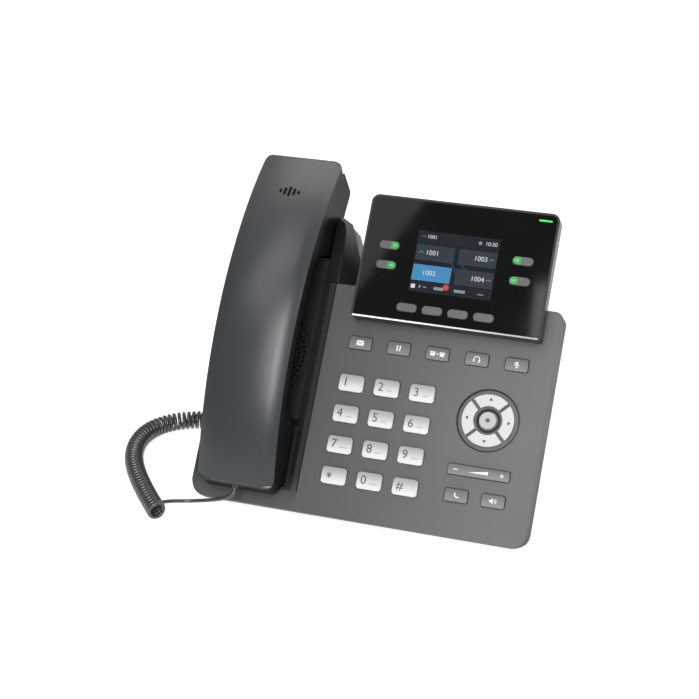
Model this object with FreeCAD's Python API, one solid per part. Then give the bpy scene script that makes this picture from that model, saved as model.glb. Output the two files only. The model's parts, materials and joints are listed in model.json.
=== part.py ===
import FreeCAD
import Part
import math
import os

V = FreeCAD.Vector

# Desk telephone.  Every piece is modelled lying flat in the face frame: X to the
# right, Y up the face from its bottom edge, Z out of the face with 0 on the front
# plate.  The whole set is then leaned back and stood on its feet.  Millimetres.

# ---- driving dimensions -------------------------------------------------------
TILT = 52.9            # lean of the face from the desk, degrees
FOOT = 1.5             # thickness of a rubber foot
ORIGIN_BACK = 66.0     # from the face's bottom edge back to the middle of the footprint
WALL = 2.2             # shell thickness
HALF_W = 104.0         # half of the body's width
PLATE_TOP = 141.5      # top edge of the keypad plate
BODY_TOP = 186.0       # top edge of the handset cradle
PART_Z = -14.0         # joint line between the two halves of the body
SOLE_DROP = 5.0        # height of the front edge above the flat sole
BACK_Z = -21.0         # back of the body at the bottom edge
BACK_SLOPE = 19.0 / 133.0
BACK_KNEE = 133.0      # above this the back stops growing deeper
BACK_TOP_Z = -36.6     # back of the body at the very top
STAND_REAR = 75.3      # rearmost line of the stand, behind the middle of the footprint

CRADLE_X = -71.0       # centre line of the handset and its cradle
CRADLE_FLOOR = -3.0
FLOOR_X = (-97.0, -46.0)               # side edges of the cradle's floor
CREST_X = (-101.6, -37.0)              # where its sides end at the crest of the raised block
GUARD_TOP = 5.0        # raised walls beside the ear end of the handset, at GUARD_TOP_Y
GUARD_TOP_Y = 178.0
GUARD_RISE = 0.122     # height gained per millimetre up the face
GRILLE_Y = 94.0        # middle of the loudspeaker grille
GRILLE_PITCH = 2.985   # from one ring of holes to the next, and along each ring
GRILLE_RINGS = 7
GRILLE_HOLE = 0.85

GAP = 0.35             # clearance round a key
TRAVEL = 1.0           # stroke of a plate key
FLANGE_TOP = -WALL - 0.3
FLANGE_BOTTOM = -3.7
DOME_TOP = FLANGE_BOTTOM - TRAVEL - 0.1

DIAL_X = (-15.8, 6.25, 28.3)
DIAL_Y = (81.3, 62.4, 43.5, 24.6)
DIAL_NAMES = ("1", "2", "3", "4", "5", "6", "7", "8", "9", "star", "0", "hash")
DIAL_SIZE = (15.3, 10.3, 1.8)          # width, height, rise above the plate
FUNCTION_NAMES = ("message", "hold", "transfer", "headset", "mute")
FUNCTION_FIRST = (-15.1, 106.4)
FUNCTION_PITCH = 24.1
FUNCTION_SIZE = (14.0, 7.8, 1.1)
CALL_KEYS = {"key_send": (59.2, 24.6), "key_speaker": (81.3, 24.7)}
VOLUME = (70.1, 39.9, 37.2, 6.4)       # centre x, y, width, height
NAV = (70.0, 71.2)
NAV_INNER, NAV_OUTER, NAV_DISH = 8.6, 15.7, 18.7
NAV_RIB = 1.9                          # space between two neighbouring direction keys
OK_RADIUS = 5.2

DISPLAY_TOP = 12.0                     # front of the lens above the plate
DISPLAY_X = (-21.6, 94.3)
DISPLAY_Y = (120.5, 197.1)
DISPLAY_RIM = 1.4
LENS_T = 1.6
DISPLAY_TRAVEL = 0.8
SOFT_FIRST, SOFT_PITCH = (12.1, 129.4), 15.66
SOFT_SIZE = (12.6, 5.2)
LINE_X, LINE_Y = (-5.4, 76.6), (166.2, 153.9)
LCD_X, LCD_Y = (7.6, 64.6), (136.0, 181.0)

HANDSET_R = 219.7                      # radius of the handset's bowed back
HANDSET_ARC = (103.4, -180.0)          # centre of that bow, (Y, Z)
HANDSET_HALF = 25.3
HANDSET_CHAMFER = (4.3, 3.4)           # bevel along the back's long edges: across, deep
HANDSET_UNDER = (                      # underside from the ear end to the mouth: y, z, corner radius
    (205.2, -22.6, 3), (162.5, -13.1, 4), (154.5, 10.5, 7), (141, 21, 18), (104, 25, 120), (62, 20, 16),
    (50, -1, 7), (16.5, -6, 3), (6.8, 7.5, 4))
GRIP_Y = (58.0, 150.0)                 # stretch where the inner shell is narrower
GRIP_WAIST = 3.0
SEAM_DEPTH = 12.0                      # outer shell's depth below the bowed back
EARPIECE_Y, MICROPHONE_Y = 182.0, 28.0

BOARD_X, BOARD_Y = (-26.0, 89.6), (14.0, 116.0)
MAIN_Z = (-13.6, -12.0)
BAY_FLOOR = -13.0
HOOK_PIN = (140.0, -25.0)              # y and z of the hook lever's pin
LEFT_BAY = (-92.0, -40.0, 43.0, 71.0)      # recesses in the back: x range, y range
RIGHT_BAY = (40.0, 92.0, 60.0, 109.0)
CORD_JACK_DEPTH, CORD_JACK_HEIGHT = 15.5, 11.0
SCREW_XY = ((-31, 22), (93.8, 22), (93.8, 130), (-31, 132), (-88, 130), (-88, 22))

LEAD_D = 2.3
COIL_D = 12.0

SIN, COS = math.sin(math.radians(TILT)), math.cos(math.radians(TILT))


# ---- small tools --------------------------------------------------------------
def box(x0, x1, y0, y1, z0, z1):
    return Part.makeBox(x1 - x0, y1 - y0, z1 - z0, V(x0, y0, z0))


def rod(x, y, radius, z0, z1):
    return Part.makeCylinder(radius, z1 - z0, V(x, y, z0))


def rounded_wire(corners):
    """Closed wire through (point, radius) corners, each rounded by an arc."""
    starts, ends, mids = [], [], []
    count = len(corners)
    for i, (point, radius) in enumerate(corners):
        back = (corners[i - 1][0] - point).normalize()
        ahead = (corners[(i + 1) % count][0] - point).normalize()
        half = back.getAngle(ahead) / 2
        reach = radius / math.tan(half)
        starts.append(point + back * reach)
        ends.append(point + ahead * reach)
        inward = (back + ahead).normalize()
        mids.append(point + inward * (radius / math.sin(half) - radius))
    edges = []
    for i in range(count):
        if corners[i][1] > 0:
            edges.append(Part.Arc(starts[i], mids[i], ends[i]).toShape())
        following = starts[(i + 1) % count]
        if ends[i].distanceToPoint(following) > 1e-6:
            edges.append(Part.LineSegment(ends[i], following).toShape())
    return Part.Wire(edges)


def slab(points, z0, z1):
    """Plate between z0 and z1 with the outline (x, y, radius)."""
    wire = rounded_wire([(V(x, y, z0), r) for x, y, r in points])
    return Part.Face(wire).extrude(V(0, 0, z1 - z0))


def inset_slab(points, inset, z0, z1):
    wire = rounded_wire([(V(x, y, z0), r) for x, y, r in points])
    face = Part.Face(wire)
    if inset:
        face = face.makeOffset2D(-inset, 0, False, False, True)
        face = Part.Face(face.Wires[0])
    return face.extrude(V(0, 0, z1 - z0))


def pill(cx, cy, w, h, radius, z0, z1):
    x, y = w / 2, h / 2
    corners = ((-x, -y), (x, -y), (x, y), (-x, y))
    return slab([(cx + a, cy + b, min(radius, 0.499 * min(w, h))) for a, b in corners], z0, z1)


def joined(shapes):
    shapes = list(shapes)
    body = shapes[0]
    if len(shapes) > 1:
        body = body.fuse(shapes[1:])
    return body.removeSplitter()


def flat_edges(shape, z):
    """Edges of a shape that lie wholly in the plane of height z."""
    return [e for e in shape.Edges if all(abs(v.Point.z - z) < 1e-4 for v in e.Vertexes)
            and abs(e.BoundBox.ZMax - z) < 1e-4 and abs(e.BoundBox.ZMin - z) < 1e-4]


def softened(shape, z, radius):
    return shape.makeFillet(radius, flat_edges(shape, z))


def side_prism(corners, x0, x1):
    """Prism along X with a side outline of (y, z, radius) corners."""
    wire = rounded_wire([(V(x0, y, z), r) for y, z, r in corners])
    return Part.Face(wire).extrude(V(x1 - x0, 0, 0))


def hopper(top, bottom, z_top, z_bottom):
    """Hollow-shaped block: a rectangle at z_top drawn in to another at z_bottom."""
    def loop(rect, z):
        x0, x1, y0, y1 = rect
        return Part.makePolygon([V(x0, y0, z), V(x1, y0, z), V(x1, y1, z), V(x0, y1, z), V(x0, y0, z)])
    return Part.makeLoft([loop(bottom, z_bottom), loop(top, z_top)], True, True)


# ---- body -----------------------------------------------------------------------
PLATE_OUTLINE = (
    (-HALF_W, 0, 10), (HALF_W, 0, 10), (HALF_W, PLATE_TOP, 5.5), (80, PLATE_TOP, 0), (80, 165, 4),
    (-18, 165, 3), (-18, PLATE_TOP, 0), (-HALF_W, PLATE_TOP, 0))
REAR_OUTLINE = (
    (-HALF_W, 0, 10), (HALF_W, 0, 10), (HALF_W, PLATE_TOP, 5.5), (80, PLATE_TOP, 0), (80, 165, 4),
    (-18, 165, 3), (-18, 150, 0), (-25.4, 150, 0), (-35.8, 177.1, 3), (-38.4, 182.6, 2),
    (-44.5, BODY_TOP, 1), (-HALF_W, BODY_TOP, 8))
FLARE_Y = 142.0                         # below this line the cradle's sides end at the plate
GUARD_FOOT = ((-HALF_W, PLATE_TOP - 1), (-21.4, PLATE_TOP - 1), (-35.8, 177.1), (-38.4, 182.6),
              (-44.5, BODY_TOP), (-HALF_W, BODY_TOP))
GUARD_CREST = ((-102.6, PLATE_TOP + 0.6), (-36.6, PLATE_TOP + 0.6), (-36.6, 173.5), (-38.0, 178.2),
               (-43.0, 180.6), (-102.6, 180.6))


def crest_z(y):
    """Height of the raised block: it runs out to nothing at the top edge of the plate."""
    return GUARD_TOP - GUARD_RISE * (GUARD_TOP_Y - y)


def guard(inset):
    """Raised block round the ear end: its right cheek leans out towards the display."""
    def loop(corners, height):
        wire = Part.makePolygon([V(x, y, 0) for x, y in corners + corners[:1]])
        if inset:
            wire = Part.Face(wire).makeOffset2D(-inset, 2, False, False, True).Wires[0]
        points = [V(v.Point.x, v.Point.y, height(v.Point.y)) for v in wire.OrderedVertexes]
        return Part.makePolygon(points + points[:1])
    low = PART_Z - (1 if inset else 0)
    foot, crest = loop(GUARD_FOOT, lambda y: low), loop(GUARD_CREST, lambda y: crest_z(y) - inset)
    block = Part.makeLoft([foot, crest], True, True)
    crease_x = GUARD_CREST[1][0]
    creases = [e for e in block.Edges if all(abs(v.Point.x - crease_x) < 0.01 for v in e.Vertexes)]
    return block.makeFillet(2.6, creases) if creases else block


def back_z(y):
    """Height of the sloping back at y, up to the knee."""
    return BACK_Z - BACK_SLOPE * y


def back_profile(inset):
    """Side outline of the rear shell: thin at the bottom, deep behind the cradle."""
    sole = SOLE_DROP - inset
    low, high = -inset / 2, BODY_TOP + 10
    foot_z = -(sole + low * SIN) / COS
    corner_y = (-BACK_Z * COS - sole) / (SIN - BACK_SLOPE * COS) - inset
    return ((low, PART_Z + 20, 0), (low, foot_z, 0), (corner_y, back_z(corner_y) + inset, 0),
            (BACK_KNEE, back_z(BACK_KNEE) + inset, 0), (high, BACK_TOP_Z + inset, 0),
            (high, PART_Z + 20, 0))


def rear_solid(inset):
    outline = inset_slab(REAR_OUTLINE, 1.0 + inset, -60, PART_Z)
    side = side_prism(back_profile(inset), -120, 120)
    depth, taper = 40, 9
    wide = HALF_W - 1.0 - inset
    narrow = wide - taper
    section = ((-wide, PART_Z), (-narrow, -depth), (-narrow, -60),
               (narrow, -60), (narrow, -depth), (wide, PART_Z))
    corners = [V(x, -20, z) for x, z in section]
    cheeks = Part.Face(Part.makePolygon(corners + corners[:1])).extrude(V(0, 230, 0))
    return outline.common(side).common(cheeks)


def above_sole(shape):
    """Trim a leaning piece to the level plane that the front feet are stuck to."""
    reach = 300
    plane = Part.makeBox(2 * reach, 2 * reach, reach, V(-reach, -reach, -reach))
    plane.rotate(V(0, 0, 0), V(1, 0, 0), -TILT)
    plane.translate(V(0, -SOLE_DROP * SIN, -SOLE_DROP * COS))
    return shape.cut(plane)


def trough(grow, top=BODY_TOP + 20):
    """Space above the cradle's floor, or, grown by the wall, the shell round it."""
    mouth = (-104 - grow, -35.6 + grow, 9 - grow, top)
    floor = (FLOOR_X[0] - grow, FLOOR_X[1] + grow, 14 - grow, top)
    return hopper(mouth, floor, 2.0 if grow else 3.0, CRADLE_FLOOR - grow)


def ear_floor(y, clearance):
    """Height of the ear pocket's floor, parallel to the underside of the ear cup."""
    return -22.4 + 0.225 * (203.5 - y) - clearance


def ear_pocket(grow):
    """Pocket for the ear cup; its lower wall leans like the cup's own."""
    mouth, deep, top = 153.4 - grow, 160.6 - grow, BODY_TOP + 20
    clearance = 2 + grow
    side = ((mouth - 2, 12, 0), (mouth, 6, 0), (deep, ear_floor(deep, clearance), 0),
            (top, ear_floor(top, clearance), 0), (top, 12, 0))
    return side_prism(side, -97.2 - grow, -44.8 + grow)


def ear_flare():
    """Space between the crests of the raised block, drawn in to the cradle's floor."""
    low, high, above = FLARE_Y, BODY_TOP + 20, 1.4

    def ends(y):
        share = (crest_z(y) + above - CRADLE_FLOOR) / (crest_z(y) - CRADLE_FLOOR)
        return [V(floor + (crest - floor) * share, y, crest_z(y) + above)
                for floor, crest in zip(FLOOR_X, CREST_X)]
    mouth = ends(low) + ends(high)[::-1]
    floor = [V(x, y, CRADLE_FLOOR) for x, y in
             ((FLOOR_X[0], low), (FLOOR_X[1], low), (FLOOR_X[1], high), (FLOOR_X[0], high))]
    return Part.makeLoft([Part.makePolygon(loop + loop[:1]) for loop in (floor, mouth)], True, True)


def mouth_pocket(grow):
    return hopper((-98.4 - grow, -43.6 + grow, 10 - grow, 56 + grow),
                  (-97.2 - grow, -44.8 + grow, 13 - grow, 52 + grow), CRADLE_FLOOR + 1, -8.0 - grow)


def speaker_holes():
    """One hole in the middle and rings of 6, 12, 18 ... holes round it."""
    cutters = [rod(CRADLE_X, GRILLE_Y, GRILLE_HOLE, -12, 2)]
    for lap in range(1, GRILLE_RINGS + 1):
        for i in range(6 * lap):
            turn = math.pi / (3 * lap) * (i + (lap + 1) % 2 / 2)
            x = CRADLE_X + GRILLE_PITCH * lap * math.cos(turn)
            y = GRILLE_Y + GRILLE_PITCH * lap * math.sin(turn)
            cutters.append(rod(x, y, GRILLE_HOLE, -12, 2))
    return cutters


def ring(x, y, outer, inner, z0, z1):
    return rod(x, y, outer, z0, z1).cut(rod(x, y, inner, z0 - 1, z1 + 1))


def nav_sector(turn, grow, z0, z1):
    """Quarter of the direction ring, less half a rib on either side."""
    body = ring(NAV[0], NAV[1], NAV_OUTER + grow, NAV_INNER - grow, z0, z1)
    reach, offset = 40.0, (NAV_RIB / 2 - grow) * math.sqrt(2)
    wedge = Part.Face(Part.makePolygon([
        V(offset, 0, z0), V(offset + reach, -reach, z0), V(offset + reach, reach, z0), V(offset, 0, z0)]))
    wedge = wedge.extrude(V(0, 0, z1 - z0))
    wedge.rotate(V(0, 0, 0), V(0, 0, 1), turn)
    wedge.translate(V(NAV[0], NAV[1], 0))
    return body.common(wedge)


def key_holes():
    """Everything cut through the front plate for the keys."""
    cutters = []
    for name, (cx, cy, w, h, radius, rise) in plate_keys().items():
        cutters.append(pill(cx, cy, w + 2 * GAP, h + 2 * GAP, radius + GAP, -8, 4))
    cutters.append(rod(NAV[0], NAV[1], NAV_DISH, -0.9, 4))
    cutters.append(rod(NAV[0], NAV[1], OK_RADIUS + 0.6, -8, 4))
    for turn in (0, 90, 180, 270):
        cutters.append(nav_sector(turn, GAP, -8, 4))
    return cutters


def plate_keys():
    """Rectangular keys of the front plate: name -> x, y, width, height, corner, rise."""
    keys = {}
    for i, label in enumerate(DIAL_NAMES):
        w, h, rise = DIAL_SIZE
        keys["key_" + label] = (DIAL_X[i % 3], DIAL_Y[i // 3], w, h, 2.0, rise)
    for i, label in enumerate(FUNCTION_NAMES):
        w, h, rise = FUNCTION_SIZE
        keys["key_" + label] = (FUNCTION_FIRST[0] + i * FUNCTION_PITCH, FUNCTION_FIRST[1], w, h, 1.3, rise)
    for name, (x, y) in CALL_KEYS.items():
        w, h, rise = FUNCTION_SIZE
        keys[name] = (x, y, w, h, 1.3, rise)
    keys["volume_key"] = (VOLUME[0], VOLUME[1], VOLUME[2], VOLUME[3], 1.3, 1.0)
    return keys


def upper_housing():
    plate = softened(slab(PLATE_OUTLINE, PART_Z, 0), 0, 0.8)
    plate = plate.cut(inset_slab(PLATE_OUTLINE, WALL, PART_Z - 1, -WALL))
    block = guard(0).cut(guard(WALL))
    below = slab(REAR_OUTLINE, -60, PART_Z)
    envelope = joined([guard(0), slab(PLATE_OUTLINE, PART_Z, 0), below])
    shells = [s.common(envelope) for s in (trough(WALL), ear_pocket(WALL), mouth_pocket(WALL))]
    bosses = [rod(x, y, 3.2, PART_Z - 0.6, -1.0) for x, y in SCREW_XY]
    body = joined([plate, block] + shells + bosses)
    body = body.cut([trough(0, FLARE_Y), ear_pocket(0), ear_flare(), mouth_pocket(0)])
    body = body.cut([rod(x, y, 1.3, PART_Z - 2, -6.5) for x, y in SCREW_XY])
    body = body.cut(speaker_holes() + [ring(CRADLE_X, GRILLE_Y, 25.4, 24.5, CRADLE_FLOOR - 0.8, 2)])
    groove = box(-37.6, -37.0, 12, PLATE_TOP + 0.5, -0.9, 1)
    hook_slot = box(CRADLE_X - 3.6, CRADLE_X + 3.6, 163.5, 172.5, -30, 0)
    return above_sole(body.cut(key_holes() + [groove, hook_slot]))


def bay_shell(bay):
    x0, x1, y0, y1 = bay
    return box(x0 - 2, x1 + 2, y0 - 2, y1 + 2, -60, BAY_FLOOR + 2)


def lower_housing():
    body = rear_solid(0).cut(rear_solid(WALL))
    envelope = rear_solid(0)
    raised = inset_slab(PLATE_OUTLINE, 4, PART_Z - 1, PART_Z + 4)
    room = envelope.fuse(raised)
    shells = [bay_shell(b).common(room) for b in (LEFT_BAY, RIGHT_BAY)]
    columns = [rod(x, y, 4.4, -60, PART_Z - 0.6).common(envelope) for x, y in SCREW_XY]
    body = joined([body] + shells + columns)
    cutters = [box(x0, x1, y0, y1, -60, BAY_FLOOR) for x0, x1, y0, y1 in (LEFT_BAY, RIGHT_BAY)]
    for x, y in SCREW_XY:
        cutters += [rod(x, y, 1.7, -60, 0), rod(x, y, 3.4, -60, PART_Z - 3.2)]
    cutters += [socket_room(place) for place in socket_places()]
    cutters += [ear_pocket(WALL + 0.5), trough(WALL + 0.4), mouth_pocket(WALL + 0.4)]
    return body.cut(cutters)


def socket_places():
    """Blocks of the five sockets: x range, y range, z range, all hung under the main board."""
    top = MAIN_Z[0]
    left, right = LEFT_BAY[1], RIGHT_BAY[0]
    return ((left, left + CORD_JACK_DEPTH, 44.0, 55.2, top - CORD_JACK_HEIGHT, top),
            (left, left + CORD_JACK_DEPTH, 58.0, 69.2, top - CORD_JACK_HEIGHT, top),
            (right - 18.0, right, 62.0, 78.0, top - 13.4, top),
            (right - 18.0, right, 80.0, 96.0, top - 13.4, top),
            (right - 14.0, right, 98.0, 107.0, top - 11.0, top))


def socket_room(place):
    """Opening through the bay's wall in front of a socket, and the room the socket stands in."""
    x0, x1, y0, y1, z0, z1 = place
    before, behind = (0.2, 4) if x0 > 0 else (4, 0.2)
    return box(x0 - before, x1 + behind, y0 - 0.15, y1 + 0.15, z0 - 0.15, z1 + 0.4)


# ---- keys -------------------------------------------------------------------------
def plate_key(cx, cy, w, h, radius, rise):
    cap = softened(pill(cx, cy, w, h, radius, FLANGE_BOTTOM, rise), rise, 0.5)
    flange = pill(cx, cy, w + 2, h + 2, radius + 1, FLANGE_BOTTOM, FLANGE_TOP)
    return joined([cap, flange])


def volume_key():
    """Rocker: its lower web is short, so that it clears the plate as it tips."""
    cx, cy, w, h, radius, rise = plate_keys()["volume_key"]
    cap = softened(pill(cx, cy, w, h, radius, -3.1, rise), rise, 0.4)
    web = box(cx - 16, cx + 16, cy - h / 2 - 1, cy + h / 2 + 1, -3.9, -3.1)
    return joined([cap, web])


def nav_key(turn):
    """One direction key, made pointing up and then turned into its place."""
    cap = softened(nav_sector(90, 0, FLANGE_BOTTOM, 0.8), 0.8, 0.35)
    key = joined([cap, nav_sector(90, 0.7, FLANGE_BOTTOM, FLANGE_TOP)])
    key.rotate(V(NAV[0], NAV[1], 0), V(0, 0, 1), turn - 90)
    return key


def ok_key():
    cap = softened(rod(NAV[0], NAV[1], OK_RADIUS, FLANGE_BOTTOM, 0.9), 0.9, 0.5)
    return joined([cap, rod(NAV[0], NAV[1], OK_RADIUS + 1.6, FLANGE_BOTTOM, FLANGE_TOP)])


def display_keys():
    """Pills that come up through the lens: name -> x, y."""
    keys = {"soft_key_%d" % (i + 1): (SOFT_FIRST[0] + i * SOFT_PITCH, SOFT_FIRST[1]) for i in range(4)}
    for side, x in zip(("left", "right"), LINE_X):
        for i, y in enumerate(LINE_Y):
            keys["line_key_%s_%d" % (side, i + 1)] = (x, y)
    return keys


def display_key(cx, cy):
    w, h = SOFT_SIZE
    top, under = DISPLAY_TOP + 0.8, DISPLAY_TOP - LENS_T
    cap = softened(pill(cx, cy, w, h, 2.5, under - 1.5, top), top, 0.4)
    return joined([cap, pill(cx, cy, w + 2, h + 2, 3, under - 1.5, under - 0.3)])


# ---- display module -----------------------------------------------------------------
def display_outline(inset, z0, z1):
    (x0, x1), (y0, y1) = DISPLAY_X, DISPLAY_Y
    big, small = max(4.9 - inset, 0.6), max(1.0 - inset, 0.3)
    return slab([(x0 + inset, y0 + inset, small), (x1 - inset, y0 + inset, small),
                 (x1 - inset, y1 - inset, big), (x0 + inset, y1 - inset, big)], z0, z1)


def display_bezel():
    body = display_outline(0, 2.5, DISPLAY_TOP)
    seat = DISPLAY_TOP - LENS_T
    return body.cut([display_outline(DISPLAY_RIM, seat, DISPLAY_TOP + 1), display_outline(3.4, 0, seat + 1)])


def display_back_cover():
    tray = display_outline(0.6, 0, 2.5).fuse(display_outline(3.6, 2.4, 4.0))
    return tray.cut(display_outline(5.2, 1.8, 5.0)).removeSplitter()


def display_lens():
    body = display_outline(DISPLAY_RIM + 0.08, DISPLAY_TOP - LENS_T, DISPLAY_TOP)
    w, h = SOFT_SIZE
    return body.cut([pill(x, y, w + 0.6, h + 0.6, 2.8, 0, 20) for x, y in display_keys().values()])


def display_board():
    top = 6.8
    board = display_outline(5.6, top - 1.6, top)
    domes = [rod(x, y, 2.0, top - 0.2, DISPLAY_TOP - LENS_T - 1.5 - DISPLAY_TRAVEL - 0.1)
             for x, y in display_keys().values()]
    pillars = [rod(x, y, 2.5, 1.8, top - 1.5) for x in (-12, 84) for y in (130, 188)]
    return joined([board] + domes + pillars)


def lcd_panel():
    (x0, x1), (y0, y1) = LCD_X, LCD_Y
    return box(x0, x1, y0, y1, 6.8, DISPLAY_TOP - LENS_T - 0.1)


# ---- inside the body ------------------------------------------------------------------
def keypad_board():
    return box(BOARD_X[0], BOARD_X[1], BOARD_Y[0], BOARD_Y[1], -8.2, -6.6)


def keypad_membrane():
    sheet = box(BOARD_X[0] + 1, BOARD_X[1] - 1, BOARD_Y[0] + 1, BOARD_Y[1] - 1, -6.6, -5.6)
    centres = [(k[0], k[1]) for name, k in plate_keys().items() if name != "volume_key"]
    centres += [(VOLUME[0] - 12, VOLUME[1]), (VOLUME[0] + 12, VOLUME[1]), NAV]
    for turn in range(4):
        angle = turn * math.pi / 2
        centres.append((NAV[0] + 12 * math.cos(angle), NAV[1] + 12 * math.sin(angle)))
    return joined([sheet] + [rod(x, y, 2.4, -5.7, DOME_TOP) for x, y in centres])


def main_board():
    board = box(-37.6, 37.6, 38, 122, MAIN_Z[0], MAIN_Z[1])
    under = MAIN_Z[0]
    processor = box(-8, 8, 74, 90, under - 1.4, under)
    network_chip = box(-14, -2, 100, 108, under - 1.2, under)
    sensor = box(-25, -17, 112, 116, under - 3.0, under)
    return joined([board, processor, network_chip, sensor])


def socket(place, opening_w, opening_h, drop, depth):
    """Square socket: a block with a cavity that opens to its outer side."""
    x0, x1, y0, y1, z0, z1 = place
    block = box(x0, x1, y0, y1, z0, z1)
    cy, cz = (y0 + y1) / 2, (z0 + z1) / 2 + drop
    near, far = (x0 - 1, x0 + depth) if x0 < 0 else (x1 - depth, x1 + 1)
    half_w, half_h = opening_w / 2, opening_h / 2
    cavity = box(near, far, cy - half_w, cy + half_w, cz - half_h, cz + half_h)
    latch = box(near, far, cy - 2.0, cy + 2.0, cz - half_h - 1.6, cz)
    return block.cut([cavity, latch])


def cord_jacks():
    return Part.makeCompound([socket(p, 8.0, 6.8, 0.8, 12.0) for p in socket_places()[:2]])


def network_jacks():
    return Part.makeCompound([socket(p, 11.9, 7.2, 1.2, 13.0) for p in socket_places()[2:4]])


def power_jack():
    x0, x1, y0, y1, z0, z1 = socket_places()[4]
    cy, cz = (y0 + y1) / 2, (z0 + z1) / 2
    bore = Part.makeCylinder(3.1, 9.5, V(x1 - 9.0, cy, cz), V(1, 0, 0))
    contact = Part.makeCylinder(1.0, 6.5, V(x1 - 9.2, cy, cz), V(1, 0, 0))
    return box(x0, x1, y0, y1, z0, z1).cut(bore).fuse(contact).removeSplitter()


def speaker():
    """Hands-free loudspeaker, face to face with the underside of the grille."""
    z = CRADLE_FLOOR - WALL
    frame = rod(CRADLE_X, GRILLE_Y, 20.0, z - 3.0, z).cut(rod(CRADLE_X, GRILLE_Y, 18.0, z - 1.2, z + 1))
    magnet = rod(CRADLE_X, GRILLE_Y, 11.5, z - 13.0, z - 2.9)
    cone = Part.makeCone(6.0, 17.9, 1.6, V(CRADLE_X, GRILLE_Y, z - 3.0))
    return joined([frame, magnet, cone])


def hook_lever():
    """Rocks about a pin below the cradle; its nose stands in the ear pocket's floor."""
    y_pin, z_pin = HOOK_PIN
    pin = Part.makeCylinder(1.5, 16, V(CRADLE_X - 8, y_pin, z_pin), V(1, 0, 0))
    arm = box(CRADLE_X - 2.5, CRADLE_X + 2.5, y_pin, 170.5, z_pin - 1.5, z_pin + 1.0)
    nose = softened(box(CRADLE_X - 2.5, CRADLE_X + 2.5, 165.5, 170.5, z_pin, ear_floor(170.5, 0.5)),
                    ear_floor(170.5, 0.5), 0.8)
    web = box(CRADLE_X - 2.5, -19, y_pin - 3.5, y_pin, z_pin - 1.5, z_pin + 1.0)
    tail = box(-23, -19, 114, y_pin, z_pin - 1.5, z_pin + 1.0)
    flag = box(-21.6, -20.4, 113.4, 118, z_pin - 1.5, MAIN_Z[0] - 3.8)
    return joined([pin, arm, nose, web, tail, flag])


def screws():
    def screw(x, y):
        shank = rod(x, y, 1.25, PART_Z - 3.3, -7.5)
        head = rod(x, y, 2.8, PART_Z - 5.2, PART_Z - 3.2)
        slot = box(x - 2, x + 2, y - 0.35, y + 0.35, PART_Z - 6, PART_Z - 4.4)
        return joined([shank, head]).cut(slot)
    return Part.makeCompound([screw(x, y) for x, y in SCREW_XY])


# ---- handset ---------------------------------------------------------------------------
def bow(y, drop=0.0):
    """Height of the handset's bowed back at y, or of a surface drop below it."""
    return HANDSET_ARC[1] + math.sqrt((HANDSET_R - drop) ** 2 - (y - HANDSET_ARC[0]) ** 2)


def handset_wire(x):
    """Side outline of the whole handset, mouth end at low y."""
    mouth, middle, ear = [V(x, y, bow(y)) for y in (9.4, HANDSET_ARC[0], 215.0)]
    corners = [(mouth, 0), (ear, 0)] + [(V(x, y, z), r) for y, z, r in HANDSET_UNDER]
    chord = (mouth - ear).Length
    straight = [e for e in rounded_wire(corners).Edges if abs(e.Length - chord) > 1e-3]
    top = Part.Arc(mouth, middle, ear).toShape()
    return Part.Wire(Part.sortEdges([top] + straight)[0])


def handset_plan(inset, z0, z1):
    """Plan outline: the mouth end is a little narrower than the ear end."""
    ear, mouth = HANDSET_HALF - inset, HANDSET_HALF - 1.2 - inset
    c = CRADLE_X
    return slab([(c - mouth, 5 + inset, 5), (c + mouth, 5 + inset, 5),
                 (c + ear, 217.0 - inset, 6), (c - ear, 217.0 - inset, 6)], z0, z1)


def handset_solid(inset, side_inset):
    face = Part.Face(handset_wire(-130))
    if inset:
        face = Part.Face(face.makeOffset2D(-inset, 0, False, False, True).Wires[0])
    return face.extrude(V(120, 0, 0)).common(handset_plan(side_inset, -60, 80))


def seam_side(drop):
    """Everything nearer the bow's centre than the seam between the two shells."""
    y, z = HANDSET_ARC
    return Part.makeCylinder(HANDSET_R - drop, 200, V(-170, y, z), V(1, 0, 0))


def back_bevel(drop=0.0):
    """Ring about the bow's centre line whose rim is bevelled at both sides of the handset."""
    y, z = HANDSET_ARC
    across, deep = HANDSET_CHAMFER
    reach, flat, rim = HANDSET_HALF + 5, HANDSET_HALF - across - drop / 2, HANDSET_R - drop
    low = rim - deep / across * (reach - flat)
    half_section = ((-reach, 120), (reach, 120), (reach, low), (flat, rim), (-flat, rim), (-reach, low))
    corners = [V(CRADLE_X + x, y, z + radius) for x, radius in half_section]
    face = Part.Face(Part.makePolygon(corners + corners[:1]))
    return face.revolve(V(0, y, z), V(1, 0, 0), 360)


def plug_block(x, y0, y1, z):
    return box(x - 3.85, x + 3.85, y0, y1, z - 3.1, z + 3.1)


HANDSET_PLUG = (CRADLE_X, 13.6)         # x and z of the cord plug in the mouth end


def handset_outer_shell():
    body = handset_solid(0, 0).common(back_bevel())
    body = body.cut(handset_solid(WALL, WALL).common(back_bevel(WALL)))
    body = body.cut(seam_side(SEAM_DEPTH))
    px, pz = HANDSET_PLUG
    return largest(body.cut(box(px - 4.1, px + 4.1, 0, 21, pz - 3.4, pz + 3.4)))


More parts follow.
